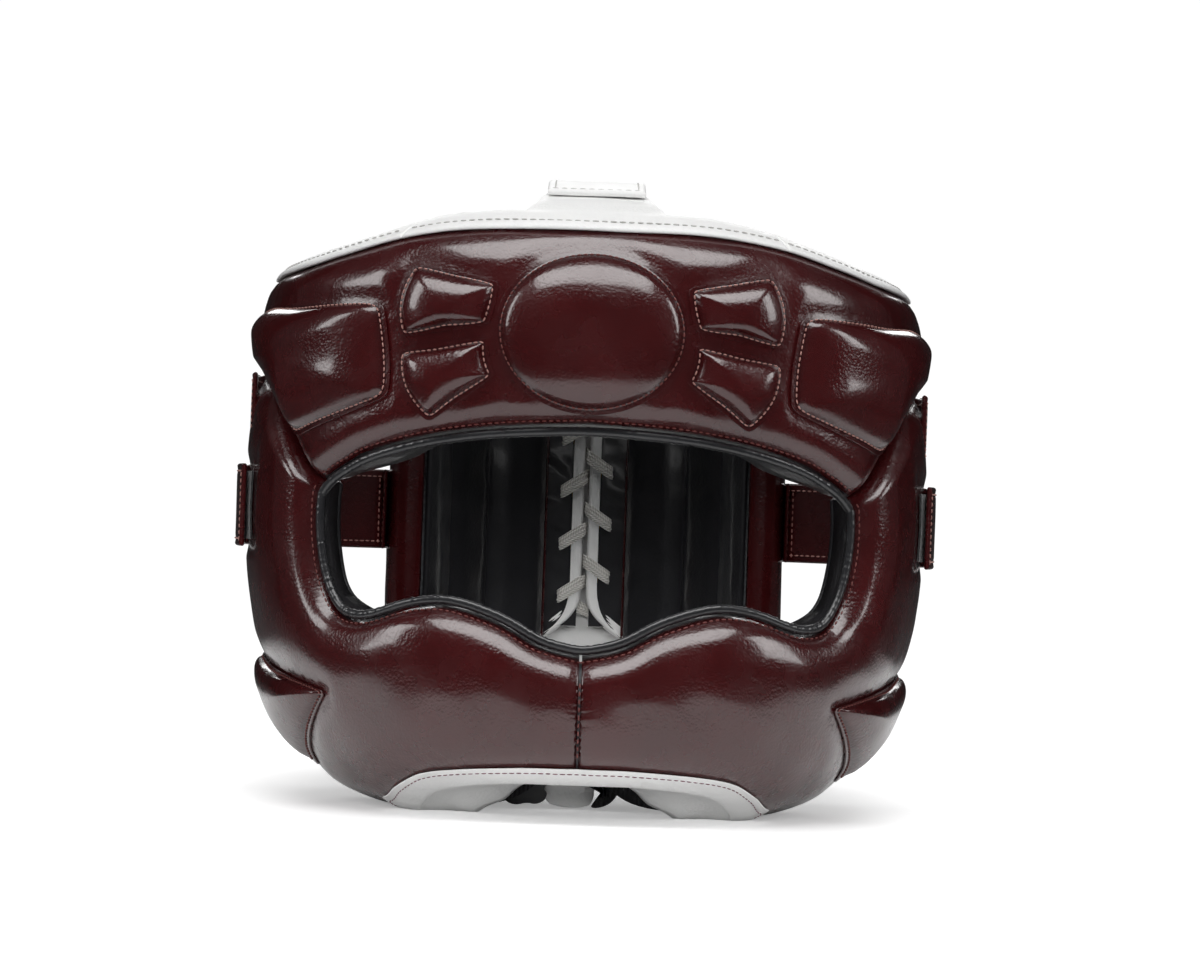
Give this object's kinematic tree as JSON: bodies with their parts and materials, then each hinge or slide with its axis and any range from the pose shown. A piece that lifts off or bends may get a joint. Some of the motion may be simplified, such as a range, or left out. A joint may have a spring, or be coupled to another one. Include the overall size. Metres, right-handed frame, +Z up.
{
  "type": "boxing headguard",
  "caption": "Full-face boxing headguard with a padded face bar, laced rear pads and a hook-and-loop lace cover.",
  "frame": {"origin": "middle of the overall box, on the surface that the guard stands on", "axes": "-Y out through the face opening, +X towards the wearer's left, +Z up through the crown"},
  "size_m": [0.2512, 0.262, 0.2215],
  "materials": {
    "burgundy_leather": "glossy",
    "white_leather": "semi-gloss",
    "black_lining": "satin",
    "padding": "matte",
    "lace_cord": "matte",
    "webbing": "matte",
    "hook_and_loop": "matte",
    "eyelet_brass": "polished"
  },
  "bodies": {
    "guard": {"forehead_cover": "burgundy_leather", "forehead_foam": "padding", "forehead_lining": "black_lining", "forehead_round_puff": "burgundy_leather", "fan_puff_upper_left": "burgundy_leather", "fan_puff_lower_left": "burgundy_leather", "fan_puff_upper_right": "burgundy_leather", "fan_puff_lower_right": "burgundy_leather", "temple_puff_left": "burgundy_leather", "temple_puff_right": "burgundy_leather", "face_cover_left": "burgundy_leather", "face_cover_right": "burgundy_leather", "face_foam": "padding", "face_lining_left": "black_lining", "face_lining_right": "black_lining", "jaw_puff_left": "burgundy_leather", "jaw_puff_right": "burgundy_leather", "eye_piping": "black_lining", "chin_facing": "white_leather", "crown_front_yoke": "white_leather", "crown_rear_yoke": "white_leather", "crown_side_band_left": "white_leather", "crown_side_band_right": "white_leather", "crown_loop_patch": "hook_and_loop", "rear_cover_left": "burgundy_leather", "rear_cover_right": "burgundy_leather", "rear_foam_left": "padding", "rear_foam_right": "padding", "rear_lining_left": "black_lining", "rear_lining_right": "black_lining", "nape_binding_left": "white_leather", "nape_binding_right": "white_leather", "lacing_placket_left": "black_lining", "lacing_placket_right": "black_lining", "placket_binding_left": "white_leather", "placket_binding_right": "white_leather", "eyelets_left": "eyelet_brass", "eyelets_right": "eyelet_brass", "lace": "lace_cord", "lace_cover_loop": "hook_and_loop", "temple_strap_left": "burgundy_leather", "temple_strap_right": "burgundy_leather", "ear_loop_patch_left": "hook_and_loop", "ear_loop_patch_right": "hook_and_loop", "chin_anchor_left": "webbing", "chin_anchor_right": "webbing"},
    "crown_strap": {"crown_strap": "white_leather", "crown_strap_hook": "hook_and_loop"},
    "lace_cover": {"lace_cover": "white_leather", "lace_cover_hook": "hook_and_loop"},
    "ear_strap_right": {"ear_strap_right": "burgundy_leather", "ear_strap_hook_right": "hook_and_loop"},
    "ear_strap_left": {"ear_strap_left": "burgundy_leather", "ear_strap_hook_left": "hook_and_loop"},
    "chin_strap_right": {"chin_strap_right": "webbing", "chin_strap_loop": "hook_and_loop"},
    "chin_strap_left": {"chin_strap_left": "webbing", "chin_strap_hook": "hook_and_loop"}
  },
  "joints": [
    {"name": "crown_strap_lift", "type": "hinge", "parent": "guard", "child": "crown_strap", "pos_m": [0, -0.06284, 0.21347], "axis": [1, 0, 0], "range_deg": [0, 60]},
    {"name": "lace_cover_open", "type": "hinge", "parent": "guard", "child": "lace_cover", "pos_m": [-0.0388, 0.119, 0.098], "axis": [0, 0, 1], "range_deg": [0, 75]},
    {"name": "ear_strap_right_open", "type": "hinge", "parent": "guard", "child": "ear_strap_right", "pos_m": [0.0742, 0.0351, 0.102], "axis": [0, 0, 1], "range_deg": [0, 75]},
    {"name": "ear_strap_left_open", "type": "hinge", "parent": "guard", "child": "ear_strap_left", "pos_m": [-0.0742, 0.0351, 0.102], "axis": [0, 0, -1], "range_deg": [0, 75]},
    {"name": "chin_strap_right_open", "type": "hinge", "parent": "guard", "child": "chin_strap_right", "pos_m": [0.04814, -0.04, 0.00467], "axis": [-0.276, -0.9611, -0.0128], "range_deg": [0, 50]},
    {"name": "chin_strap_left_open", "type": "hinge", "parent": "guard", "child": "chin_strap_left", "pos_m": [-0.04814, -0.04, 0.00467], "axis": [0.276, -0.9611, -0.0128], "range_deg": [0, 60]}
  ]
}
